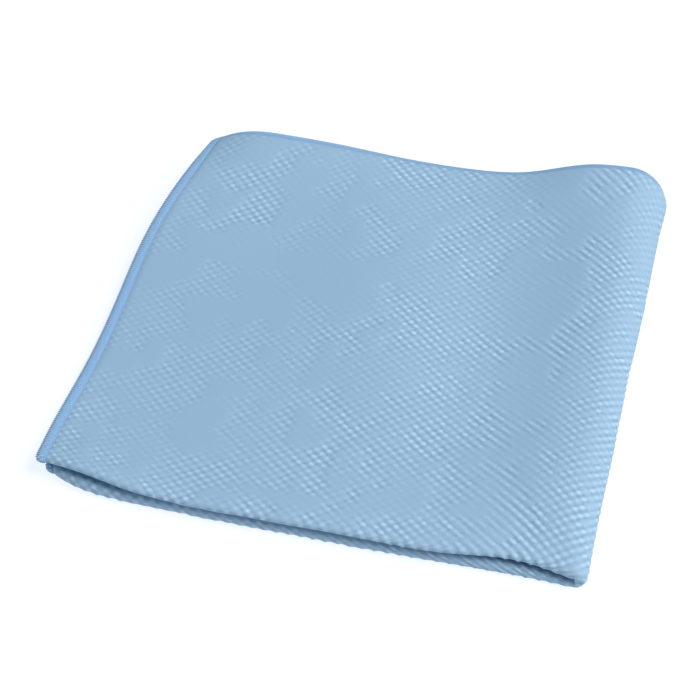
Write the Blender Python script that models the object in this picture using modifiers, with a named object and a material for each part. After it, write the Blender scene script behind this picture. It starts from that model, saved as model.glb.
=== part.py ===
"""A microfibre cloth, folded in half twice and laid down softly, so that waves are left in it.

The first fold is the one along the front: it makes the cloth a pair of layers. The second
fold is the one along the right: it lays that pair over itself, so four layers lie on each
other. The left and back edges are the cloth's own hemmed edges, four of each.

Metres, +Z up. +X runs along the front fold to the right fold, +Y from the front fold to the
back edges. The cloth rests on Z = 0, with its middle over the origin.
"""

from collections import namedtuple

import bpy
import numpy as np

MM = 0.001

# The sheet
THICKNESS = 1.2 * MM
LEAST_PITCH = 1.75 * MM        # from the middle of one layer to the middle of the next
CORNER_RADIUS = 7.0 * MM       # the cloth's own corners

# The folded cloth, in plan
FOLDED_DEPTH = 199.0 * MM      # from the front fold to the back edges

# Folds
FRONT_FOLD_REACH = 14.0 * MM   # how far back the front fold's opening dies away
PITCH_SHARE_TOP = 0.30         # share of any spare height that parts the two top layers
PITCH_SHARE_BOTTOM = 0.26      # share of it that parts the two bottom layers
CORNER_LIFT = 2.2 * MM         # the front left corner of the bottom pair curls up by this
CORNER_LIFT_REACH = 20.0 * MM
BACK_CURL = 3.0 * MM           # the back hems of the top pair turn down by this
BACK_CURL_REACH = 5.5 * MM

# Where the heights below are taken across the width: share of the way from the left edge
# to the crest of the right fold
STATIONS = (0.0, 0.06, 0.18, 0.32, 0.47, 0.62, 0.77, 0.90, 1.0)

# A row for each section across the cloth, from front to back. depth is the share of the
# folded depth, and the rest are millimetres. left and right are where the top layer's edge
# and the outside of the right fold lie in plan; edge to crest are heights of the upper face
# at STATIONS; bulge is how far the right fold stands out beyond its crest.
Section = namedtuple(
    "Section",
    "depth left edge hem left_wave left_slope middle trough right_slope shoulder crest right bulge",
)
SECTIONS = (
    Section(0.00, -2.8, 10.4, 12.0, 11.0, 10.0, 10.4, 10.4, 10.5, 11.0, 10.8, 195.2, 5.2),
    Section(0.10, -3.5, 8.0, 8.0, 8.0, 8.6, 9.6, 10.2, 11.0, 13.2, 15.0, 195.2, 11.0),
    Section(0.30, -2.0, 6.9, 7.2, 7.8, 9.0, 10.4, 11.8, 11.4, 14.0, 16.5, 196.0, 11.6),
    Section(0.50, -1.8, 8.2, 8.6, 9.3, 10.7, 13.0, 14.0, 12.4, 15.3, 18.2, 196.4, 12.0),
    Section(0.70, -0.5, 12.3, 12.7, 13.0, 13.6, 15.6, 15.8, 15.3, 18.9, 21.8, 197.6, 13.4),
    Section(0.87, 5.8, 17.4, 18.4, 18.8, 18.8, 19.2, 18.3, 19.5, 23.6, 26.0, 198.0, 15.0),
    Section(1.00, 11.2, 17.8, 23.5, 25.8, 24.4, 21.8, 21.0, 24.0, 31.6, 33.0, 199.4, 15.6),
)

# A row for each layer, from the bottom: how far its left edge lies in from the top layer's at
# the front and at the back, and how far its back edge lies in at the left and at the right.
Layer = namedtuple("Layer", "left_front left_back back_left back_right")
LAYERS = (
    Layer(3.0, -1.5, 2.5, 1.5),
    Layer(2.6, 0.5, 1.0, 2.5),
    Layer(0.8, -0.8, 2.2, 1.0),
    Layer(0.0, 0.0, 1.0, 0.0),
)

# How far the front fold draws back at STATIONS, in millimetres: of the bottom pair, then
# of the top pair. Both draw back towards the left, where the hems are tighter than the cloth.
FRONT_BOTTOM = (15.2, 10.2, 7.8, 6.7, 6.0, 5.4, 5.4, 5.3, 3.9)
FRONT_TOP = (12.8, 10.6, 6.2, 4.3, 3.5, 3.0, 2.9, 4.5, 3.8)

# How far the front folds stay open inside at STATIONS, from the middle of one layer to the
# middle of the next, in millimetres: of the bottom pair, then of the top pair. The top pair's
# fold is pressed flatter, but at the right corner it swells and comes down over the bottom's.
OPEN_BOTTOM = (3.6, 4.2, 4.4, 4.4, 4.4, 4.5, 4.6, 4.4, 2.4)
OPEN_TOP = (2.0, 2.0, 2.0, 2.0, 2.0, 2.0, 2.0, 1.9, 4.4)

# Mesh: how many steps each stretch has
STEPS_BOTTOM_RUN = 14
STEPS_RIGHT_FOLD = 14
STEPS_TOP_RUN = 24
STEPS_DEPTH = 14
STEPS_CORNER = 4
STEPS_FRONT_FOLD = 8


def spline(stations, values, at, flat_end=False):
    """The cubic spline through values (one row for each station), read at `at`.

    Its ends are straight, or with flat_end the last one runs level.
    """
    x = np.asarray(stations, float)
    y = np.asarray(values, float)
    gap = np.diff(x)
    slope = (np.diff(y, axis=0).T / gap).T
    rows = np.eye(len(x))
    right = np.zeros_like(y)
    for i in range(1, len(x) - 1):
        rows[i, i - 1 : i + 2] = gap[i - 1], 2 * (gap[i - 1] + gap[i]), gap[i]
        right[i] = 6 * (slope[i] - slope[i - 1])
    if flat_end:
        rows[-1, -2:] = gap[-1], 2 * gap[-1]
        right[-1] = -6 * slope[-1]
    bend = np.linalg.solve(rows, right)
    i = np.clip(np.searchsorted(x, at, side="right") - 1, 0, len(x) - 2)
    as_rows = (...,) + (None,) * (y.ndim - 1)
    ahead = (x[i + 1] - at)[as_rows]
    behind = (at - x[i])[as_rows]
    width = gap[i][as_rows]
    return (
        (bend[i] * ahead**3 + bend[i + 1] * behind**3) / (6 * width)
        + (y[i] / width - bend[i] * width / 6) * ahead
        + (y[i + 1] / width - bend[i + 1] * width / 6) * behind
    )


def eased(start, end, count):
    """count + 1 shares from start to end, closer together towards start."""
    share = np.linspace(0, 1, count + 1)
    return start + (end - start) * (0.6 * share + 0.4 * share**2)


def depth_shares():
    """Shares of the depth, with the last few spaced so that they round the corner evenly."""
    straight = 1 - CORNER_RADIUS / FOLDED_DEPTH
    corner = np.sin(np.linspace(0, np.pi / 2, STEPS_CORNER + 1)[1:])
    return np.append(eased(0, straight, STEPS_DEPTH), straight + (1 - straight) * corner)


def column(name, depth):
    """One named column of the sections, in metres, at each depth."""
    depths = [section.depth for section in SECTIONS]
    return spline(depths, [getattr(section, name) * MM for section in SECTIONS], depth)


def top_heights(across, depth):
    """Heights of the upper face for each depth (rows) and each share across (columns)."""
    first = Section._fields.index("edge")
    names = Section._fields[first : first + len(STATIONS)]
    by_depth = np.array([column(name, depth) for name in names])
    return spline(STATIONS, by_depth, across, flat_end=True).T


def corner_inset(depth):
    """How far the left edge draws in where it rounds into the back edge."""
    past = np.maximum(depth * FOLDED_DEPTH - (FOLDED_DEPTH - CORNER_RADIUS), 0)
    return CORNER_RADIUS - np.sqrt(np.maximum(CORNER_RADIUS**2 - past**2, 0))


def run_plan(layer, front, across, depth):
    """x and y of a layer's flat run, for each depth (rows) and share across (columns)."""
    row = LAYERS[layer]
    left = column("left", depth) + corner_inset(depth)
    left = left + (row.left_front + (row.left_back - row.left_front) * depth) * MM
    crest = column("right", depth) - column("bulge", depth)
    x = left[:, None] + (crest - left)[:, None] * across[None, :]
    draw_back = spline(STATIONS, np.array(front) * MM, across)
    back = (row.back_left + (row.back_right - row.back_left) * across) * MM
    y = draw_back[None, :] + (FOLDED_DEPTH - back - draw_back)[None, :] * depth[:, None]
    return x, y


def pitch(share, front_open, across, depth):
    """Spacing of the two layers of a pair, middle to middle, with its share of spare height."""
    spare = np.maximum(top_heights(across, depth) - THICKNESS - 3 * LEAST_PITCH, 0)
    near_front = np.exp(-((depth * FOLDED_DEPTH / FRONT_FOLD_REACH) ** 2))[:, None]
    fold = spline(STATIONS, np.array(front_open) * MM, across)
    return (1 - near_front) * (LEAST_PITCH + share * spare) + near_front * fold


def back_curl(depth):
    """How far the top pair has turned down at each depth, close to its back hems."""
    from_back = (1 - depth) * FOLDED_DEPTH
    return BACK_CURL * np.clip(1 - from_back / BACK_CURL_REACH, 0, 1) ** 2


def corner_lift(x, y):
    """How far the bottom pair curls up off the surface, near its front left corner."""
    away = np.hypot(x, y) / CORNER_LIFT_REACH
    return CORNER_LIFT * np.exp(-(away**2))


def wrap(bottom, top, depth):
    """Two layers that are one round the right fold: an array of depth x path x 3.

    The path runs along the bottom from the left, round the right fold, and back along the top.
    """
    to_fold = eased(0, 1, STEPS_BOTTOM_RUN)
    from_fold = eased(0, 1, STEPS_TOP_RUN)
    turn = np.linspace(-np.pi / 2, np.pi / 2, STEPS_RIGHT_FOLD + 1)[1:-1]
    x_low, y_low = run_plan(bottom, FRONT_BOTTOM, to_fold, depth)
    x_high, y_high = run_plan(top, FRONT_TOP, from_fold, depth)
    z_low = THICKNESS / 2 + corner_lift(x_low, y_low)
    z_high = top_heights(from_fold, depth) - THICKNESS / 2 - back_curl(depth)[:, None]
    reach = column("bulge", depth) - back_curl(depth)
    if bottom > 0:
        inset_low = pitch(PITCH_SHARE_BOTTOM, OPEN_BOTTOM, to_fold, depth)
        inset_high = pitch(PITCH_SHARE_TOP, OPEN_TOP, from_fold, depth)
        z_low = z_low + inset_low
        z_high = z_high - inset_high
        reach = reach - (inset_low[:, -1] + inset_high[:, -1]) / 2
    rise = (1 + np.sin(turn)) / 2
    x_turn = x_low[:, -1:] + reach[:, None] * np.cos(turn)
    y_turn = y_low[:, -1:] + (y_high[:, -1:] - y_low[:, -1:]) * rise
    z_turn = z_low[:, -1:] + (z_high[:, -1:] - z_low[:, -1:]) * rise
    x = np.hstack([x_low, x_turn, x_high[:, ::-1]])
    y = np.hstack([y_low, y_turn, y_high[:, ::-1]])
    z = np.hstack([z_low, z_turn, z_high[:, ::-1]])
    return np.stack([x, y, z], axis=-1)


def cloth_rows():
    """The middle of the sheet, from the outer wrap's back edge, round the front fold, to the
    inner wrap's back edge."""
    depth = depth_shares()
    outer = wrap(0, 3, depth)
    inner = wrap(1, 2, depth)
    middle = (outer[0] + inner[0]) / 2
    half = (outer[0] - inner[0]) / 2
    forward = np.linalg.norm(half, axis=-1, keepdims=True) * np.array([0, -1, 0])
    angles = np.linspace(0, np.pi, STEPS_FRONT_FOLD + 1)[1:-1]
    nose = [middle + half * np.cos(angle) + forward * np.sin(angle) for angle in angles]
    return np.concatenate([outer[::-1], np.array(nose), inner])


def sheet_mesh(name, rows):
    """An open surface with one vertex for each entry of rows, which is row x column x 3."""
    count, width = rows.shape[:2]
    faces = [
        (r * width + c, (r + 1) * width + c, (r + 1) * width + c + 1, r * width + c + 1)
        for r in range(count - 1)
        for c in range(width - 1)
    ]
    mesh = bpy.data.meshes.new(name)
    mesh.from_pydata(rows.reshape(-1, 3).tolist(), [], faces)
    mesh.shade_smooth()
    return mesh


def cloth_material():
    material = bpy.data.materials.new("light_blue_microfibre")
    material.use_nodes = True
    shader = material.node_tree.nodes["Principled BSDF"]
    shader.inputs["Base Color"].default_value = (0.30, 0.48, 0.69, 1)
    shader.inputs["Roughness"].default_value = 0.85
    shader.inputs["Metallic"].default_value = 0.0
    return material


def centred(cloth):
    """Moves the object so that the middle of its box lies over the origin."""
    bpy.context.view_layer.update()
    solid = cloth.evaluated_get(bpy.context.evaluated_depsgraph_get())
    corners = np.array([corner[:] for corner in solid.bound_box])
    middle = (corners.min(axis=0) + corners.max(axis=0)) / 2
    cloth.location = (-middle[0], -middle[1], 0)


def main():
    for old in list(bpy.data.objects):
        bpy.data.objects.remove(old, do_unlink=True)
    collection = bpy.data.collections.new("folded_microfibre_cloth")
    bpy.context.scene.collection.children.link(collection)
    cloth = bpy.data.objects.new("cloth", sheet_mesh("cloth", cloth_rows()))
    cloth.data.materials.append(cloth_material())
    collection.objects.link(cloth)
    thick = cloth.modifiers.new("thickness", "SOLIDIFY")
    thick.thickness = THICKNESS
    thick.offset = 0
    thick.use_even_offset = True
    centred(cloth)


main()
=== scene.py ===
"""The looks of a light blue microfibre cloth, folded in half twice and laid down softly.

Everything is made on the cloth laid flat, as a maker would, and then folded: the knit with its
raised scales, the rolled edge, and the threads of the overlock stitch. Metres, +Z up, in the
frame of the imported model. Distances in the tables are millimetres.
"""

from collections import namedtuple

import bpy
import numpy as np
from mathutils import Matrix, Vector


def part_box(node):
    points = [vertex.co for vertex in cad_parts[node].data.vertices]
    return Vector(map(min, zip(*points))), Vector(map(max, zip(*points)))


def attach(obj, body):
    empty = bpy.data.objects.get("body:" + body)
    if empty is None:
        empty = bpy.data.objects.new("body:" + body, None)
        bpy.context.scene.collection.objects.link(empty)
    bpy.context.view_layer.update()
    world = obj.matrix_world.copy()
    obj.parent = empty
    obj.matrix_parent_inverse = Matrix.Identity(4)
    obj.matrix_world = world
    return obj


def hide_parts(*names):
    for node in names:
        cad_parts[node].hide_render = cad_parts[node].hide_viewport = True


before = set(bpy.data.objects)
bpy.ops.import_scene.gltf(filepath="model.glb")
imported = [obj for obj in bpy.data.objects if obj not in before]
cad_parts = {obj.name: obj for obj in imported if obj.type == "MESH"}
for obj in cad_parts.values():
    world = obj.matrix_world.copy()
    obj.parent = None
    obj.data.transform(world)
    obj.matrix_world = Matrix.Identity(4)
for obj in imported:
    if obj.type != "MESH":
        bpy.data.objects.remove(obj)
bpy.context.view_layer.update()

# ---------------------------------------------------------------------------------------------
# The folds
# The cloth is one square, halved twice by hand. The first fold is the front one and makes a
# pair of layers, and the second lays that pair over itself at the right, so the left and back
# sides show four edges each. Waves are left in it, and the right fold stays round and springy.
# ---------------------------------------------------------------------------------------------

MM = 0.001
SIDE = 400 * MM                # the cloth laid flat
THICKNESS = 1.2 * MM
LEAST_PITCH = 1.75 * MM        # from the middle of one layer to the middle of the next
FOLDED_DEPTH = 199.0 * MM      # from the front fold to the back edges
FRONT_FOLD_REACH = 14.0 * MM   # how far back the front fold's opening dies away
PITCH_SHARE_TOP = 0.30         # share of any spare height that parts the two top layers
PITCH_SHARE_BOTTOM = 0.26      # share of it that parts the two bottom layers
CORNER_LIFT = 2.2 * MM         # the front left corner of the bottom pair curls up by this
CORNER_LIFT_REACH = 20.0 * MM
BACK_CURL = 3.0 * MM           # the back hems of the top pair turn down by this
BACK_CURL_REACH = 5.5 * MM

# Where the heights below are taken across the width: share of the way from the left edge
# to the crest of the right fold
STATIONS = (0.0, 0.06, 0.18, 0.32, 0.47, 0.62, 0.77, 0.90, 1.0)

# A row for each section across the cloth, from front to back. depth is the share of the
# folded depth. left and right are where the top layer's edge and the outside of the right
# fold lie in plan; edge to crest are heights of the upper face at STATIONS; bulge is how far
# the right fold stands out beyond its crest. The values were fitted by least squares to the
# photograph's outline and shading, and rounded, and a few were then changed.
Section = namedtuple(
    "Section",
    "depth left edge hem left_wave left_slope middle trough right_slope shoulder crest right bulge",
)
SECTIONS = (
    Section(0.00, -2.8, 10.4, 12.0, 11.0, 10.0, 10.4, 10.4, 10.5, 11.0, 10.8, 195.2, 5.2),
    Section(0.10, -3.5, 8.0, 8.0, 8.0, 8.6, 9.6, 10.2, 11.0, 13.2, 15.0, 195.2, 11.0),
    Section(0.30, -2.0, 6.9, 7.2, 7.8, 9.0, 10.4, 11.8, 11.4, 14.0, 16.5, 196.0, 11.6),
    Section(0.50, -1.8, 8.2, 8.6, 9.3, 10.7, 13.0, 14.0, 12.4, 15.3, 18.2, 196.4, 12.0),
    Section(0.70, -0.5, 12.3, 12.7, 13.0, 13.6, 15.6, 15.8, 15.3, 18.9, 21.8, 197.6, 13.4),
    Section(0.87, 5.8, 17.4, 18.4, 18.8, 18.8, 19.2, 18.3, 19.5, 23.6, 26.0, 198.0, 15.0),
    Section(1.00, 11.2, 17.8, 23.5, 25.8, 24.4, 21.8, 21.0, 24.0, 31.6, 33.0, 199.4, 15.6),
)

# A row for each layer, from the bottom: how far its left edge lies in from the top layer's at
# the front and at the back, and how far its back edge lies in at the left and at the right.
Layer = namedtuple("Layer", "left_front left_back back_left back_right")
LAYERS = (
    Layer(3.0, -1.5, 2.5, 1.5),
    Layer(2.6, 0.5, 1.0, 2.5),
    Layer(0.8, -0.8, 2.2, 1.0),
    Layer(0.0, 0.0, 1.0, 0.0),
)

# How far the front fold draws back at STATIONS: of the bottom pair, then of the top pair.
# These were fitted in the same way first, and all changed afterwards.
FRONT_BOTTOM = (15.2, 10.2, 7.8, 6.7, 6.0, 5.4, 5.4, 5.3, 3.9)
FRONT_TOP = (12.8, 10.6, 6.2, 4.3, 3.5, 3.0, 2.9, 4.5, 3.8)

# How far the front folds stay open inside at STATIONS, middle to middle.
OPEN_BOTTOM = (3.6, 4.2, 4.4, 4.4, 4.4, 4.5, 4.6, 4.4, 2.4)
OPEN_TOP = (2.0, 2.0, 2.0, 2.0, 2.0, 2.0, 2.0, 1.9, 4.4)

# Samples of the folded form, before they are spaced evenly along the cloth
RUN_SAMPLES = 400
TURN_SAMPLES = 96
DEPTH_SAMPLES = 400
NOSE_SAMPLES = 24
GRID_STEP = 0.5 * MM
CLEARANCE = 0.03 * MM          # between the lowest thread and the surface


def spline(stations, values, at, flat_end=False):
    """The cubic spline through values (one row for each station), read at `at`.

    Its ends are straight, or with flat_end the last one runs level.
    """
    x = np.asarray(stations, float)
    y = np.asarray(values, float)
    gap = np.diff(x)
    slope = (np.diff(y, axis=0).T / gap).T
    rows = np.eye(len(x))
    right = np.zeros_like(y)
    for i in range(1, len(x) - 1):
        rows[i, i - 1 : i + 2] = gap[i - 1], 2 * (gap[i - 1] + gap[i]), gap[i]
        right[i] = 6 * (slope[i] - slope[i - 1])
    if flat_end:
        rows[-1, -2:] = gap[-1], 2 * gap[-1]
        right[-1] = -6 * slope[-1]
    bend = np.linalg.solve(rows, right)
    i = np.clip(np.searchsorted(x, at, side="right") - 1, 0, len(x) - 2)
    as_rows = (...,) + (None,) * (y.ndim - 1)
    ahead = (x[i + 1] - at)[as_rows]
    behind = (at - x[i])[as_rows]
    width = gap[i][as_rows]
    return (
        (bend[i] * ahead**3 + bend[i + 1] * behind**3) / (6 * width)
        + (y[i] / width - bend[i] * width / 6) * ahead
        + (y[i + 1] / width - bend[i + 1] * width / 6) * behind
    )


def column(name, depth):
    """One named column of the sections, in metres, at each depth."""
    depths = [section.depth for section in SECTIONS]
    return spline(depths, [getattr(section, name) * MM for section in SECTIONS], depth)


def top_heights(across, depth):
    """Heights of the upper face for each depth (rows) and each share across (columns)."""
    first = Section._fields.index("edge")
    names = Section._fields[first : first + len(STATIONS)]
    by_depth = np.array([column(name, depth) for name in names])
    return spline(STATIONS, by_depth, across, flat_end=True).T


def run_plan(layer, front, across, depth):
    """x and y of a layer's flat run, for each depth (rows) and share across (columns)."""
    row = LAYERS[layer]
    left = column("left", depth)
    left = left + (row.left_front + (row.left_back - row.left_front) * depth) * MM
    crest = column("right", depth) - column("bulge", depth)
    x = left[:, None] + (crest - left)[:, None] * across[None, :]
    draw_back = spline(STATIONS, np.array(front) * MM, across)
    back = (row.back_left + (row.back_right - row.back_left) * across) * MM
    y = draw_back[None, :] + (FOLDED_DEPTH - back - draw_back)[None, :] * depth[:, None]
    return x, y


def pitch(share, front_open, across, depth):
    """Spacing of the two layers of a pair, middle to middle, with its share of spare height."""
    spare = np.maximum(top_heights(across, depth) - THICKNESS - 3 * LEAST_PITCH, 0)
    near_front = np.exp(-((depth * FOLDED_DEPTH / FRONT_FOLD_REACH) ** 2))[:, None]
    fold = spline(STATIONS, np.array(front_open) * MM, across)
    return (1 - near_front) * (LEAST_PITCH + share * spare) + near_front * fold


def back_curl(depth):
    """How far the top pair has turned down at each depth, close to its back hems."""
    from_back = (1 - depth) * FOLDED_DEPTH
    return BACK_CURL * np.clip(1 - from_back / BACK_CURL_REACH, 0, 1) ** 2


def wrap(bottom, top):
    """Two layers that are one round the right fold, as front-to-back rows x path x 3."""
    depth = np.linspace(0, 1, DEPTH_SAMPLES + 1)
    across = np.linspace(0, 1, RUN_SAMPLES + 1)
    turn = np.linspace(-np.pi / 2, np.pi / 2, TURN_SAMPLES + 1)[1:-1]
    x_low, y_low = run_plan(bottom, FRONT_BOTTOM, across, depth)
    x_high, y_high = run_plan(top, FRONT_TOP, across, depth)
    lift = CORNER_LIFT * np.exp(-((np.hypot(x_low, y_low) / CORNER_LIFT_REACH) ** 2))
    z_low = THICKNESS / 2 + lift
    z_high = top_heights(across, depth) - THICKNESS / 2 - back_curl(depth)[:, None]
    reach = column("bulge", depth) - back_curl(depth)
    if bottom > 0:
        inset_low = pitch(PITCH_SHARE_BOTTOM, OPEN_BOTTOM, across, depth)
        inset_high = pitch(PITCH_SHARE_TOP, OPEN_TOP, across, depth)
        z_low = z_low + inset_low
        z_high = z_high - inset_high
        reach = reach - (inset_low[:, -1] + inset_high[:, -1]) / 2
    rise = (1 + np.sin(turn)) / 2
    x_turn = x_low[:, -1:] + reach[:, None] * np.cos(turn)
    y_turn = y_low[:, -1:] + (y_high[:, -1:] - y_low[:, -1:]) * rise
    z_turn = z_low[:, -1:] + (z_high[:, -1:] - z_low[:, -1:]) * rise
    x = np.hstack([x_low, x_turn, x_high[:, ::-1]])
    y = np.hstack([y_low, y_turn, y_high[:, ::-1]])
    z = np.hstack([z_low, z_turn, z_high[:, ::-1]])
    return np.stack([x, y, z], axis=-1)


def evenly(lines):
    """Each line of points again, in equal steps on either side of its middle point."""
    half = round(SIDE / 2 / GRID_STEP)
    middle = lines.shape[1] // 2
    even = np.empty((len(lines), 2 * half + 1, 3))
    for line, out in zip(lines, even):
        for part, into in ((line[: middle + 1], out[: half + 1]), (line[middle:], out[half:])):
            gaps = np.linalg.norm(np.diff(part, axis=0), axis=1)
            along = np.concatenate([[0], np.cumsum(gaps)])
            at = np.linspace(0, along[-1], half + 1)
            for axis in range(3):
                into[:, axis] = np.interp(at, along, part[:, axis])
    return even


def folded_grid():
    """The middle of the sheet, v (rows) x u (columns) x 3, with a point every GRID_STEP.

    u runs from the bottom layer's left edge, round the right fold, to the top layer's left
    edge. v runs from the outer layers' back edge, round the front fold, to the inner ones'.
    """
    outer = wrap(0, 3)
    inner = wrap(1, 2)
    middle = (outer[0] + inner[0]) / 2
    half = (outer[0] - inner[0]) / 2
    forward = np.linalg.norm(half, axis=-1, keepdims=True) * np.array([0, -1, 0])
    angles = np.linspace(0, np.pi, NOSE_SAMPLES + 1)[1:-1]
    nose = [middle + half * np.cos(angle) + forward * np.sin(angle) for angle in angles]
    rows = np.concatenate([outer[::-1], np.array(nose), inner])
    grid = evenly(evenly(rows).transpose(1, 0, 2)).transpose(1, 0, 2)
    low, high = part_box("cloth")
    grid[..., 0] += high.x - THICKNESS / 2 - grid[..., 0].max()
    grid[..., 1] += low.y + THICKNESS / 2 - grid[..., 1].min()
    return grid


GRID = folded_grid()
GRID_NORMALS = np.cross(np.gradient(GRID, axis=1), np.gradient(GRID, axis=0))
GRID_NORMALS /= np.linalg.norm(GRID_NORMALS, axis=-1, keepdims=True)


def between(grid, u, v):
    """The grid's values at flat places u, v, each between its four neighbours."""
    last = len(grid) - 2
    column_at = np.clip(u / GRID_STEP, 0, last + 1)
    row_at = np.clip(v / GRID_STEP, 0, last + 1)
    i = np.minimum(column_at.astype(int), last)
    j = np.minimum(row_at.astype(int), last)
    s = (column_at - i)[..., None]
    t = (row_at - j)[..., None]
    near = grid[j, i] * (1 - s) + grid[j, i + 1] * s
    far = grid[j + 1, i] * (1 - s) + grid[j + 1, i + 1] * s
    return near * (1 - t) + far * t


def sheet_middle(u, v):
    """The middle of the folded sheet. Past an edge the sheet goes straight on."""
    inside_u = np.clip(u, 0, SIDE)
    inside_v = np.clip(v, 0, SIDE)
    place = between(GRID, inside_u, inside_v)
    back_u = between(GRID, 2 * inside_u - u, inside_v)
    back_v = between(GRID, inside_u, 2 * inside_v - v)
    return 3 * place - back_u - back_v


def fold(u, v, height):
    """Where points of the flat cloth come to lie: height is measured from the middle of the
    sheet towards its face. Nothing goes below the surface that the cloth lies on."""
    normal = between(GRID_NORMALS, np.clip(u, 0, SIDE), np.clip(v, 0, SIDE))
    normal /= np.linalg.norm(normal, axis=-1, keepdims=True)
    place = sheet_middle(u, v) + normal * np.asarray(height)[..., None]
    place[..., 2] = np.maximum(place[..., 2], CLEARANCE)
    return place


# ---------------------------------------------------------------------------------------------
# The knit
# The fabric is knitted of split polyester yarn, and its floats puff up into small diamond
# scales, staggered row by row, with narrow grooves between them. It is dyed light blue.
# ---------------------------------------------------------------------------------------------

SCALES_U = 90                  # pairs of scales along u
SCALES_V = 109                 # pairs of scales along v
SCALE_STEPS = 4                # mesh steps for each pair
GROOVE_HEIGHT = 0.15 * MM
SCALE_HEIGHT = 0.55 * MM       # from the groove to the top of a scale
SCALE_ROUNDNESS = 2.2          # lower is flatter on top, with narrower grooves
RIDGE_MEAN = 0.48              # mean height of such a ridge, as a share
CORNER_RADIUS = 7.0 * MM
HEM_WIDTH = 3.4 * MM
HEM_PAD = 0.42 * MM            # the rolled edge stands this much thicker, on either side
HEM_REACH = 2.0 * MM           # the hem pulls the scales flat this far into the knit
HEM_LINES = (0.0, 0.4, 1.1, 2.0, 2.8, 3.3, 3.6, 4.2)   # mesh lines over a hem, in mm

# How strongly the knit's relief stands, since washing and the hand brush it flat in places: a
# row for each distance from the front fold, with a share at each of RELIEF_PLACES from the
# left hem, all mm. Both layers of a fold have the same. The shares were set to follow the
# weave's contrast as it was measured at these places in the photograph.
RELIEF_PLACES = (5, 40, 60, 80, 100, 120, 140, 165, 182, 193)
Relief = namedtuple("Relief", "distance shares")
RELIEF = (
    Relief(0, (0.55, 0.45, 0.45, 0.45, 0.45, 0.55, 0.70, 0.75, 1.00, 0.65)),
    Relief(11, (0.38, 0.15, 0.16, 0.15, 0.22, 0.30, 0.35, 0.40, 0.75, 0.60)),
    Relief(20, (0.28, 0.05, 0.18, 0.10, 0.28, 0.30, 0.18, 0.15, 0.60, 0.60)),
    Relief(38, (0.15, 0.09, 0.08, 0.09, 0.36, 0.54, 0.42, 0.20, 0.60, 0.60)),
    Relief(70, (0.07, 0.14, 0.11, 0.15, 0.36, 0.50, 0.53, 0.24, 0.60, 0.60)),
    Relief(110, (0.06, 0.08, 0.07, 0.11, 0.33, 0.50, 0.46, 0.23, 0.48, 0.45)),
    Relief(135, (0.06, 0.14, 0.03, 0.03, 0.22, 0.45, 0.42, 0.20, 0.42, 0.38)),
    Relief(155, (0.04, 0.28, 0.10, 0.12, 0.25, 0.22, 0.20, 0.20, 0.42, 0.35)),
    Relief(187, (0.02, 0.16, 0.10, 0.32, 0.52, 0.52, 0.28, 0.20, 0.42, 0.35)),
)
# The share of each set of grooves in that relief, at the same places: where the cloth bends
# over, the scales of a row close up and one set almost disappears.
GROOVES_A = (0.9, 0.9, 0.9, 1.0, 1.0, 1.0, 1.0, 1.0, 1.0, 0.45)
GROOVES_B = (0.8, 0.75, 0.7, 0.65, 0.7, 0.65, 0.6, 0.15, 0.65, 1.0)
SOFT_PATCHES = 1.1             # how much the relief swells and sinks from patch to patch
EVEN_WHERE_STRONG = 1.4        # strong relief is less patchy, by this times its share
LARGE_PATCH = 14 * MM
SMALL_PATCH = 7 * MM
PATCH_PEAK = 2.8               # relief of a patch that stands up fully
PATCHES_UP = 0.32              # higher has more of the patches standing up
PATCH_EDGES = 0.85             # higher has sharper edges between patches
SCALE_VARIETY = 0.8            # how much one scale differs in height from the next
PLAIN_STEPS = 4                # the hidden part of the inner layers has one step in so many
FINE_PAST_FOLD = 14            # scale steps past the front fold that stay fine


def round_corners(u, v):
    """Flat places again, with the square's corners drawn in to an arc."""
    x = np.clip(np.minimum(u, SIDE - u) / CORNER_RADIUS, 0, 1)
    y = np.clip(np.minimum(v, SIDE - v) / CORNER_RADIUS, 0, 1)
    from_x = 1 - x
    from_y = 1 - y
    new_x = 1 - from_x * np.sqrt(1 - from_y**2 / 2)
    new_y = 1 - from_y * np.sqrt(1 - from_x**2 / 2)
    shift_u = (new_x - x) * CORNER_RADIUS * np.where(u < SIDE / 2, 1, -1)
    shift_v = (new_y - y) * CORNER_RADIUS * np.where(v < SIDE / 2, 1, -1)
    return u + shift_u, v + shift_v


def from_edge(u, v):
    """Distance from the cloth's edge, with round corners."""
    x = np.minimum(u, SIDE - u)
    y = np.minimum(v, SIDE - v)
    straight = np.minimum(x, y)
    in_corner = (x < CORNER_RADIUS) & (y < CORNER_RADIUS)
    to_arc = CORNER_RADIUS - np.hypot(CORNER_RADIUS - x, CORNER_RADIUS - y)
    return np.where(in_corner, to_arc, straight)


def smooth_step(share):
    share = np.clip(share, 0, 1)
    return share * share * (3 - 2 * share)


def hem_pad(edge):
    """Height of the rolled edge, at a distance in from the cloth's edge."""
    from_middle = (edge - HEM_WIDTH / 2) / (HEM_WIDTH / 2)
    return HEM_PAD * np.sqrt(np.clip(1 - from_middle**2, 0, 1))


def random_share(i, j):
    """A share from 0 to 1 that jumps from one pair of whole numbers to the next."""
    return np.modf(np.abs(np.sin(i * 12.9898 + j * 78.233)) * 43758.5453)[0]


def patches(u, v, size):
    """Soft random patches, from -1 to 1, that are about size across."""
    i, s = np.divmod(u / size, 1)
    j, t = np.divmod(v / size, 1)
    s = smooth_step(s)
    t = smooth_step(t)
    near = random_share(i, j) * (1 - s) + random_share(i + 1, j) * s
    far = random_share(i, j + 1) * (1 - s) + random_share(i + 1, j + 1) * s
    return 2 * (near * (1 - t) + far * t) - 1


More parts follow.
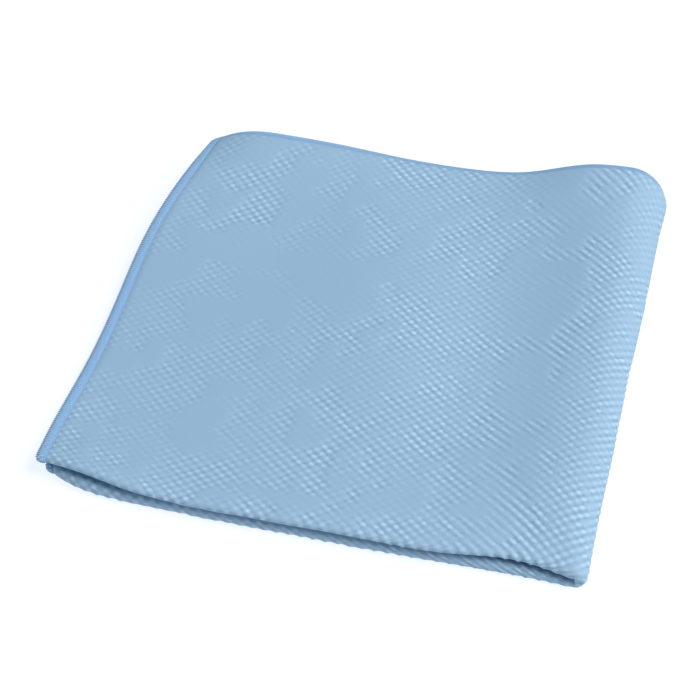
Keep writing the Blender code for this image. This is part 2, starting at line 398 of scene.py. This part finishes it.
def relief_shares(u, v):
    """The depth of each set of grooves at flat places u, v, as shares of the full depth."""
    from_hem = np.clip(np.minimum(u, SIDE - u) / MM, RELIEF_PLACES[0], RELIEF_PLACES[-1])
    from_fold = np.abs(v - SIDE / 2) / MM
    by_place = np.array([row.shares for row in RELIEF]).T
    weights = spline(RELIEF_PLACES, np.eye(len(RELIEF_PLACES)), from_hem.ravel())
    distances = [row.distance for row in RELIEF]
    rows = [np.interp(from_fold.ravel(), distances, line) for line in by_place]
    strength = (weights * np.array(rows).T).sum(axis=1).reshape(u.shape)
    swell = patches(u, v, LARGE_PATCH) + patches(u + SIDE, v, SMALL_PATCH)
    swing = SOFT_PATCHES * (1 - EVEN_WHERE_STRONG * np.clip(strength, 0.1, 0.6))
    standing = PATCH_PEAK * smooth_step(PATCHES_UP + PATCH_EDGES * swell)
    strength = strength * (1 + swing * (standing - 1))
    set_a = strength * (weights @ np.array(GROOVES_A)).reshape(u.shape)
    set_b = strength * (weights @ np.array(GROOVES_B)).reshape(u.shape)
    return np.clip(set_a, 0, 1), np.clip(set_b, 0, 1)


def knit_height(u, v):
    """Height of the knit's face over the middle of the sheet."""
    edge = from_edge(u, v)
    a = u / SIDE * SCALES_U + v / SIDE * SCALES_V
    b = v / SIDE * SCALES_V - u / SIDE * SCALES_U
    share_a, share_b = relief_shares(u, v)
    ridge_a = np.abs(np.cos(np.pi * a)) ** SCALE_ROUNDNESS
    ridge_b = np.abs(np.cos(np.pi * b)) ** SCALE_ROUNDNESS
    scale = (1 - share_a * (1 - ridge_a)) * (1 - share_b * (1 - ridge_b))
    own = random_share(np.round(a), np.round(b)) - 0.5
    scale = scale * (1 + SCALE_VARIETY * own * np.minimum(share_a, share_b) * ridge_a * ridge_b)
    free = smooth_step((edge - HEM_WIDTH) / HEM_REACH)
    return GROOVE_HEIGHT + SCALE_HEIGHT * scale * free + hem_pad(edge)


def mesh_lines(step, fine_end):
    """Places of the mesh lines from edge to edge: steps of a scale, closer over the two hems,
    and one in PLAIN_STEPS past fine_end."""
    hem = np.array(HEM_LINES) * MM
    places = np.arange(0, SIDE, step)
    places = np.concatenate([places[places < fine_end], places[places >= fine_end][::PLAIN_STEPS]])
    places = places[(places > hem[-1] + step / 2) & (places < SIDE - hem[-1] - step / 2)]
    return np.concatenate([hem, places, SIDE - hem[::-1]])


def grid_faces(rows, columns, first=0):
    """The quads of a grid of vertices that is rows x columns and starts at vertex first."""
    r, c = np.meshgrid(np.arange(rows - 1), np.arange(columns - 1), indexing="ij")
    a = first + r * columns + c
    return np.stack([a, a + 1, a + columns + 1, a + columns], axis=-1).reshape(-1, 4).tolist()


def knit_mesh():
    """The face of the knit: fine on the outer layers and round the front fold, and plain on
    the inner layers, which don't show."""
    step_v = SIDE / (SCALES_V * SCALE_STEPS)
    fine_end = (SCALES_V * SCALE_STEPS // 2 + FINE_PAST_FOLD) * step_v
    lines_u = mesh_lines(SIDE / (SCALES_U * SCALE_STEPS), SIDE)
    lines_v = mesh_lines(step_v, fine_end)
    rows = int((lines_v < fine_end).sum())
    columns = len(lines_u)
    hems = len(HEM_LINES)
    between_hems = np.arange(hems, columns - hems)[::PLAIN_STEPS]
    kept = np.concatenate([np.arange(hems), between_hems, np.arange(columns - hems, columns)])
    fine_u, fine_v = np.meshgrid(lines_u, lines_v[:rows])
    plain_u, plain_v = np.meshgrid(lines_u[kept], lines_v[rows:])
    first_plain = rows * columns
    faces = grid_faces(rows, columns)
    faces += grid_faces(len(lines_v) - rows, len(kept), first_plain)
    last_fine = (rows - 1) * columns
    for k in range(len(kept) - 1):
        fine = (last_fine + np.arange(kept[k], kept[k + 1] + 1)).tolist()
        faces.append(fine + [first_plain + k + 1, first_plain + k])
    u = np.concatenate([fine_u.ravel(), plain_u.ravel()])
    v = np.concatenate([fine_v.ravel(), plain_v.ravel()])
    return u, v, faces


def piece(name, points, faces):
    """A smooth mesh object in the scene."""
    mesh = bpy.data.meshes.new(name)
    mesh.from_pydata(points.tolist(), [], faces)
    mesh.shade_smooth()
    made = bpy.data.objects.new(name, mesh)
    bpy.context.scene.collection.objects.link(made)
    return made


knit_u, knit_v, knit_faces = knit_mesh()
knit_u, knit_v = round_corners(knit_u, knit_v)
cloth = piece("microfibre_cloth", fold(knit_u, knit_v, knit_height(knit_u, knit_v)), knit_faces)
cloth_corners = np.empty(len(cloth.data.loops), np.int32)
cloth.data.loops.foreach_get("vertex_index", cloth_corners)
flat_places = np.stack([knit_u, knit_v], axis=-1)[cloth_corners] / SIDE
cloth.data.uv_layers.new(name="OFBake").data.foreach_set("uv", flat_places.ravel())
for groove_set, shares in zip(("grooves a", "grooves b"), relief_shares(knit_u, knit_v)):
    cloth.data.attributes.new(groove_set, "FLOAT", "POINT").data.foreach_set("value", shares)


def node_maths(tree):
    """A function that adds one Math node to a tree and gives its output."""

    def math(operation, first, second=None):
        node = tree.nodes.new("ShaderNodeMath")
        node.operation = operation
        for socket, value in zip(node.inputs, (first, second)):
            if isinstance(value, bpy.types.NodeSocket):
                tree.links.new(value, socket)
            elif value is not None:
                socket.default_value = value
        return node.outputs[0]

    return math


PLAIN_TONE = 0.5               # tone of the knit where it is brushed flat
BRUSHED_UP_TONE = 0.05         # how much lighter it is where each set of grooves is deep
# The knit's tone goes from painted shade in a groove to a painted highlight on a scale's top; these
# two set how far.
LEAST_PAINTED_CONTRAST = 0.2           # change of tone from groove to top, on the plainest scale
PAINTED_CONTRAST_VARIETY = 1.1         # how much more the most marked scale has


def knit_pattern():
    """Node group: from flat places counted in cells and the depths of the two sets of grooves,
    how high each place lies on its scale, and its tone from dark 0 over plain 0.5 to light: painted
    shade in the grooves and painted highlights on the scale tops."""
    group = bpy.data.node_groups.new("scale knit", "ShaderNodeTree")
    group.interface.new_socket("Cells", in_out="INPUT", socket_type="NodeSocketVector")
    group.interface.new_socket("Grooves A", in_out="INPUT", socket_type="NodeSocketFloat")
    group.interface.new_socket("Grooves B", in_out="INPUT", socket_type="NodeSocketFloat")
    group.interface.new_socket("Scale", in_out="OUTPUT", socket_type="NodeSocketFloat")
    group.interface.new_socket("Tone", in_out="OUTPUT", socket_type="NodeSocketFloat")
    given = group.nodes.new("NodeGroupInput")
    result = group.nodes.new("NodeGroupOutput")
    split = group.nodes.new("ShaderNodeSeparateXYZ")
    group.links.new(given.outputs["Cells"], split.inputs[0])
    math = node_maths(group)
    ridges = []
    means = []
    numbers = []
    for operation, depth in (("ADD", "Grooves A"), ("SUBTRACT", "Grooves B")):
        line = math(operation, split.outputs["Y"], split.outputs["X"])
        wave = math("ABSOLUTE", math("COSINE", math("MULTIPLY", line, np.pi)))
        fall = math("SUBTRACT", 1, math("POWER", wave, SCALE_ROUNDNESS))
        ridges.append(math("SUBTRACT", 1, math("MULTIPLY", fall, given.outputs[depth])))
        mean_fall = math("MULTIPLY", 1 - RIDGE_MEAN, given.outputs[depth])
        means.append(math("SUBTRACT", 1, mean_fall))
        numbers.append(math("ROUND", line))
    scale = math("MULTIPLY", *ridges)
    group.links.new(scale, result.inputs["Scale"])
    number = group.nodes.new("ShaderNodeCombineXYZ")
    group.links.new(numbers[0], number.inputs["X"])
    group.links.new(numbers[1], number.inputs["Y"])
    own = group.nodes.new("ShaderNodeTexWhiteNoise")
    own.noise_dimensions = "2D"
    group.links.new(number.outputs[0], own.inputs["Vector"])
    # Below the mean height the tone darkens and above it lightens: painted shade in the grooves,
    # painted highlights on the tops.
    over_mean = math("SUBTRACT", scale, math("MULTIPLY", *means))
    more = math("MULTIPLY", own.outputs["Value"], PAINTED_CONTRAST_VARIETY)
    contrast = math("ADD", LEAST_PAINTED_CONTRAST, more)
    brushed_up = math("ADD", given.outputs["Grooves A"], given.outputs["Grooves B"])
    plain = math("ADD", PLAIN_TONE, math("MULTIPLY", brushed_up, BRUSHED_UP_TONE))
    tone = math("ADD", plain, math("MULTIPLY", over_mean, contrast))
    group.links.new(tone, result.inputs["Tone"])
    return group


def fibre_pattern():
    """Node group: the fine streaks of the split fibres, as a height."""
    group = bpy.data.node_groups.new("split fibres", "ShaderNodeTree")
    group.interface.new_socket("Place", in_out="INPUT", socket_type="NodeSocketVector")
    group.interface.new_socket("Fibre", in_out="OUTPUT", socket_type="NodeSocketFloat")
    given = group.nodes.new("NodeGroupInput")
    result = group.nodes.new("NodeGroupOutput")
    noise = group.nodes.new("ShaderNodeTexNoise")
    noise.inputs["Scale"].default_value = 1.0
    noise.inputs["Detail"].default_value = 3.0
    noise.inputs["Roughness"].default_value = 0.6
    group.links.new(given.outputs["Place"], noise.inputs["Vector"])
    group.links.new(noise.outputs["Fac"], result.inputs["Fibre"])
    return group


FIBRES = fibre_pattern()


def scaled_uv(tree, factors):
    """The OFBake map's places, with each axis multiplied by its factor."""
    uv = tree.nodes.new("ShaderNodeUVMap")
    uv.uv_map = "OFBake"
    scaled = tree.nodes.new("ShaderNodeVectorMath")
    scaled.operation = "MULTIPLY"
    scaled.inputs[1].default_value = factors
    tree.links.new(uv.outputs["UV"], scaled.inputs[0])
    return scaled.outputs[0]


def mixed(tree, factor, first, second):
    """The colour between first and second, each a colour or a socket."""
    mix = tree.nodes.new("ShaderNodeMix")
    mix.data_type = "RGBA"
    tree.links.new(factor, mix.inputs["Factor"])
    for name, value in (("A", first), ("B", second)):
        if isinstance(value, bpy.types.NodeSocket):
            tree.links.new(value, mix.inputs[name])
        else:
            mix.inputs[name].default_value = (*value, 1)
    return mix.outputs["Result"]


def raised(tree, height, distance, onto=None):
    """A normal bumped by height times distance, on top of another normal."""
    bump = tree.nodes.new("ShaderNodeBump")
    bump.inputs["Distance"].default_value = distance
    tree.links.new(height, bump.inputs["Height"])
    if onto is not None:
        tree.links.new(onto, bump.inputs["Normal"])
    return bump.outputs["Normal"]


# The knit's colour runs between these two blues with a scale's height: painted shade in the
# grooves, a painted highlight on the tops.
GROOVE_SHADE_BLUE = (0.15, 0.28, 0.42)
TIP_HIGHLIGHT_BLUE = (0.46, 0.62, 0.74)
HEM_BLUE = (0.26, 0.44, 0.64)
# The hem's blue is the band's own colour under the threads; past the needle line it is painted
# shade in the groove beside the stitches.
HEM_BLUE_AND_SHADE_REACH = 1.25          # the hem's blue reaches this many times its width in
FIBRES_U = 9                   # fibre streaks across each pair of scales
FIBRES_V = 2.2                 # and along it
KNIT_ROUGHNESS = 0.66
SCALE_BUMP = 0.20 * MM
FIBRE_BUMP = 0.10 * MM
FIBRE_ROUGHNESS = 0.25         # how much rougher a raised fibre is
SOFT_SHINE = (0.75, 0.88, 1.0) # tint of the sheen on the fibres


def knit_material():
    """Matt split fibres, with painted shade in the grooves, painted highlights on the scales, and a
    bluer hem.
    """
    material = bpy.data.materials.new("light_blue_knit")
    material.use_nodes = True
    tree = material.node_tree
    math = node_maths(tree)
    shader = tree.nodes["Principled BSDF"]
    shader.inputs["Specular IOR Level"].default_value = 0.15
    shader.inputs["Sheen Weight"].default_value = 0.04
    shader.inputs["Sheen Roughness"].default_value = 0.45
    shader.inputs["Sheen Tint"].default_value = (*SOFT_SHINE, 1)

    pattern = tree.nodes.new("ShaderNodeGroup")
    pattern.node_tree = knit_pattern()
    tree.links.new(scaled_uv(tree, (SCALES_U, SCALES_V, 1)), pattern.inputs["Cells"])
    for socket, groove_set in (("Grooves A", "grooves a"), ("Grooves B", "grooves b")):
        depth = tree.nodes.new("ShaderNodeAttribute")
        depth.attribute_name = groove_set
        tree.links.new(depth.outputs["Fac"], pattern.inputs[socket])
    fibres = tree.nodes.new("ShaderNodeGroup")
    fibres.node_tree = FIBRES
    streaks = scaled_uv(tree, (FIBRES_U * SCALES_U, FIBRES_V * SCALES_V, 1))
    tree.links.new(streaks, fibres.inputs["Place"])

    split = tree.nodes.new("ShaderNodeSeparateXYZ")
    tree.links.new(scaled_uv(tree, (1, 1, 1)), split.inputs[0])
    to_edges = []
    for axis in "XY":
        place = split.outputs[axis]
        to_edges.append(math("MINIMUM", place, math("SUBTRACT", 1, place)))
    edge = math("MULTIPLY", math("MINIMUM", *to_edges), SIDE / HEM_WIDTH)
    # Hem mask: the band's own blue, and past the needle line painted shade in the groove beside it.
    hem = math("LESS_THAN", edge, HEM_BLUE_AND_SHADE_REACH)

    # Painted shade in the grooves and painted highlights on the scale tops, following the tone.
    colour = mixed(tree, pattern.outputs["Tone"], GROOVE_SHADE_BLUE, TIP_HIGHLIGHT_BLUE)
    colour = mixed(tree, hem, colour, HEM_BLUE)
    tree.links.new(colour, shader.inputs["Base Color"])
    fibre = fibres.outputs["Fibre"]
    rough = math("ADD", KNIT_ROUGHNESS, math("MULTIPLY", fibre, FIBRE_ROUGHNESS))
    tree.links.new(rough, shader.inputs["Roughness"])
    on_knit = math("MULTIPLY", pattern.outputs["Scale"], math("SUBTRACT", 1, hem))
    normal = raised(tree, on_knit, SCALE_BUMP)
    tree.links.new(raised(tree, fibre, FIBRE_BUMP, normal), shader.inputs["Normal"])
    return material


cloth.data.materials.append(knit_material())
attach(cloth, "root")
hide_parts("cloth")

# ---------------------------------------------------------------------------------------------
# The overlocked edge
# A machine trims the edge and covers it with a dense stitch: a looper thread zigzags over the
# face and another over the back, they meet along the edge, and a needle thread holds both down
# a few millimetres in. All are bulky polyester, dyed with the cloth.
# ---------------------------------------------------------------------------------------------

STITCH = 1.1 * MM              # from one stitch to the next
LOOPER_WIDTH = 0.62 * MM
LOOPER_HEIGHT = 0.34 * MM
LOOPER_BEDDED = 0.08 * MM      # its middle lies this high over the rolled edge
EDGE_OVERHANG = 0.22 * MM
NEEDLE_WIDTH = 0.34 * MM
NEEDLE_LINE = HEM_WIDTH + 0.05 * MM
NEEDLE_RISE = 0.02 * MM        # the needle thread's middle over the grooves, between its holes
NEEDLE_DIP = 0.16 * MM         # how far it goes down and up from there
LOOPER_STEPS = 5               # mesh steps from the needle line to the edge
NEEDLE_STEPS = 4               # mesh steps for each stitch
THREAD_SIDES = 6
STRIP_RINGS = 512              # rings in each strip of a thread's flat layout

edge_straight = SIDE - 2 * CORNER_RADIUS
edge_arc = CORNER_RADIUS * np.pi / 2
EDGE_LENGTH = 4 * (edge_straight + edge_arc)
STITCHES = round(EDGE_LENGTH / STITCH)


def at_edge(along, inward):
    """Flat place of points that lie so far along the cloth's edge and so far in from it."""
    quarter = edge_straight + edge_arc
    turns = np.floor(along / quarter)
    rest = along - turns * quarter
    angle = np.clip((rest - edge_straight) / CORNER_RADIUS, 0, np.pi / 2)
    x = CORNER_RADIUS + np.minimum(rest, edge_straight) + (CORNER_RADIUS - inward) * np.sin(angle)
    y = CORNER_RADIUS - (CORNER_RADIUS - inward) * np.cos(angle)
    x, y = x - SIDE / 2, y - SIDE / 2
    turn = turns * np.pi / 2
    u = x * np.cos(turn) - y * np.sin(turn) + SIDE / 2
    v = x * np.sin(turn) + y * np.cos(turn) + SIDE / 2
    return u, v


def thread_piece(name, along, inward, height, width, thick, side):
    """A thread: a closed tube of flattened rings round a line that is given on the flat cloth.

    Each strip of its flat layout has STRIP_RINGS rings, one step for each mesh face."""
    rate = np.gradient(inward, along)
    slope = np.hypot(1, rate)
    angle = np.arange(THREAD_SIDES) / THREAD_SIDES * 2 * np.pi * side
    across = width / 2 * np.cos(angle)
    ring_along = along[:, None] - across * (rate / slope)[:, None]
    ring_inward = inward[:, None] + across / slope[:, None]
    u, v = at_edge(ring_along % EDGE_LENGTH, ring_inward)
    points = fold(u, v, height[:, None] + thick / 2 * np.sin(angle))
    rings = len(along)
    r, s = np.meshgrid(np.arange(rings), np.arange(THREAD_SIDES), indexing="ij")
    corner_r = np.stack([r, r + 1, r + 1, r], axis=-1)
    corner_s = np.stack([s, s, s + 1, s + 1], axis=-1)
    faces = (corner_r % rings) * THREAD_SIDES + corner_s % THREAD_SIDES
    made = piece(name, points.reshape(-1, 3), faces.reshape(-1, 4).tolist())
    strip = (r // STRIP_RINGS)[..., None]
    strips = -(-rings // STRIP_RINGS)
    flat_x = (corner_r - strip * STRIP_RINGS) / STRIP_RINGS
    flat_y = (strip + corner_s / (THREAD_SIDES + 1)) / strips
    flat_layout = np.stack([flat_x, flat_y], axis=-1)
    made.data.uv_layers.new(name="OFBake").data.foreach_set("uv", flat_layout.ravel())
    return made


def looper_thread(name, side):
    """The thread that zigzags over the face (side 1) or the back (side -1)."""
    phase = np.arange(STITCHES * 2 * LOOPER_STEPS) / (2 * LOOPER_STEPS)
    zigzag = 2 * np.abs(phase - np.floor(phase + 0.5))
    inward = (HEM_WIDTH + EDGE_OVERHANG) * (1 - zigzag) - EDGE_OVERHANG
    over_edge = smooth_step((inward + EDGE_OVERHANG) / (3 * EDGE_OVERHANG))
    height = side * (GROOVE_HEIGHT + hem_pad(inward) + LOOPER_BEDDED) * over_edge
    along = phase * EDGE_LENGTH / STITCHES
    return thread_piece(name, along, inward, height, LOOPER_WIDTH, LOOPER_HEIGHT, side)


def needle_thread(name):
    """The straight line of stitches at the inner side of the band, down at each needle hole."""
    phase = np.arange(STITCHES * NEEDLE_STEPS) / NEEDLE_STEPS
    dip = np.cos(2 * np.pi * phase)
    height = GROOVE_HEIGHT + NEEDLE_RISE - NEEDLE_DIP * dip
    along = phase * EDGE_LENGTH / STITCHES
    inward = np.full_like(along, NEEDLE_LINE)
    return thread_piece(name, along, inward, height, NEEDLE_WIDTH, NEEDLE_WIDTH, 1)


THREAD_SHADE = (0.23, 0.40, 0.60)
THREAD_LIGHT = (0.37, 0.57, 0.78)
THREAD_ROUGHNESS = 0.5
PLY_BUMP = 0.08 * MM
PLIES_ALONG = 0.5              # ply streaks for each ring
PLIES_ROUND = 1.5              # and for each side


def thread_material():
    """Bulky thread of fine plies, with a tone that drifts along it."""
    material = bpy.data.materials.new("blue_overlock_thread")
    material.use_nodes = True
    tree = material.node_tree
    math = node_maths(tree)
    shader = tree.nodes["Principled BSDF"]
    shader.inputs["Specular IOR Level"].default_value = 0.35
    shader.inputs["Sheen Weight"].default_value = 0.2
    shader.inputs["Sheen Tint"].default_value = (*SOFT_SHINE, 1)
    fibres = tree.nodes.new("ShaderNodeGroup")
    fibres.node_tree = FIBRES
    strips = -(-STITCHES * 2 * LOOPER_STEPS // STRIP_RINGS)
    round_strips = strips * (THREAD_SIDES + 1)
    plies = scaled_uv(tree, (STRIP_RINGS * PLIES_ALONG, round_strips * PLIES_ROUND, 1))
    tree.links.new(plies, fibres.inputs["Place"])
    fibre = fibres.outputs["Fibre"]
    colour = mixed(tree, fibre, THREAD_SHADE, THREAD_LIGHT)
    tree.links.new(colour, shader.inputs["Base Color"])
    rough = math("ADD", THREAD_ROUGHNESS, math("MULTIPLY", fibre, FIBRE_ROUGHNESS))
    tree.links.new(rough, shader.inputs["Roughness"])
    tree.links.new(raised(tree, fibre, PLY_BUMP), shader.inputs["Normal"])
    return material


face_thread = looper_thread("overlock_thread_face", 1)
back_thread = looper_thread("overlock_thread_back", -1)
inner_thread = needle_thread("overlock_needle_thread")
hem_threads = [face_thread, back_thread, inner_thread]
thread_finish = thread_material()
for thread in hem_threads:
    thread.data.materials.append(thread_finish)
    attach(thread, "root")

# ---------------------------------------------------------------------------------------------
# The stage: a plain pale floor and plain soft studio light, as round a small packshot table.
# ---------------------------------------------------------------------------------------------

bpy.ops.mesh.primitive_plane_add(size=12)
floor = bpy.context.object
floor.name = "floor"
floor_finish = bpy.data.materials.new("pale_floor")
floor_finish.use_nodes = True
floor_shader = floor_finish.node_tree.nodes["Principled BSDF"]
floor_shader.inputs["Base Color"].default_value = (0.2, 0.2, 0.2, 1)
floor_shader.inputs["Roughness"].default_value = 1.0
floor_shader.inputs["Specular IOR Level"].default_value = 0.0
floor_shader.inputs["Emission Color"].default_value = (0.94, 0.98, 1.04, 1)
floor_shader.inputs["Emission Strength"].default_value = 0.87
floor.data.materials.append(floor_finish)

world = bpy.data.worlds.new("studio")
world.use_nodes = True
world.node_tree.nodes["Background"].inputs["Color"].default_value = (0.6, 0.9, 1.3, 1)
world.node_tree.nodes["Background"].inputs["Strength"].default_value = 0.2
bpy.context.scene.world = world

Lamp = namedtuple("Lamp", "name azimuth elevation distance size power")
LAMPS = (
    Lamp("key", -14, 54, 3.0, 1.6, 99),
    Lamp("fill", 170, 45, 3.0, 2.4, 11),
)
for lamp in LAMPS:
    light = bpy.data.lights.new(lamp.name, "AREA")
    light.size = lamp.size
    light.energy = lamp.power
    lamp_object = bpy.data.objects.new(lamp.name, light)
    azimuth, elevation = np.radians((lamp.azimuth, lamp.elevation))
    out = lamp.distance * np.cos(elevation)
    lamp_object.location = (
        out * np.cos(azimuth),
        out * np.sin(azimuth),
        lamp.distance * np.sin(elevation),
    )
    aim = -lamp_object.location
    lamp_object.rotation_euler = aim.to_track_quat("-Z", "Y").to_euler()
    bpy.context.scene.collection.objects.link(lamp_object)

# Where the photograph was taken from, found by fitting its outline and the weave's rows with
# a few lenses
CAMERA_PLACE = (0.1185, -0.5435, 0.5212)
CAMERA_TILT = np.radians(47)
CAMERA_HEADING = np.radians(13)
CAMERA_LENS = 102.857          # mm, on a sensor 36 mm wide
camera_data = bpy.data.cameras.new("camera")
camera_data.sensor_width = 36
camera_data.lens = CAMERA_LENS
camera = bpy.data.objects.new("camera", camera_data)
camera.location = CAMERA_PLACE
camera.rotation_euler = (CAMERA_TILT, 0, CAMERA_HEADING)
bpy.context.scene.collection.objects.link(camera)
bpy.context.scene.camera = camera
bpy.context.scene.view_settings.view_transform = "Standard"
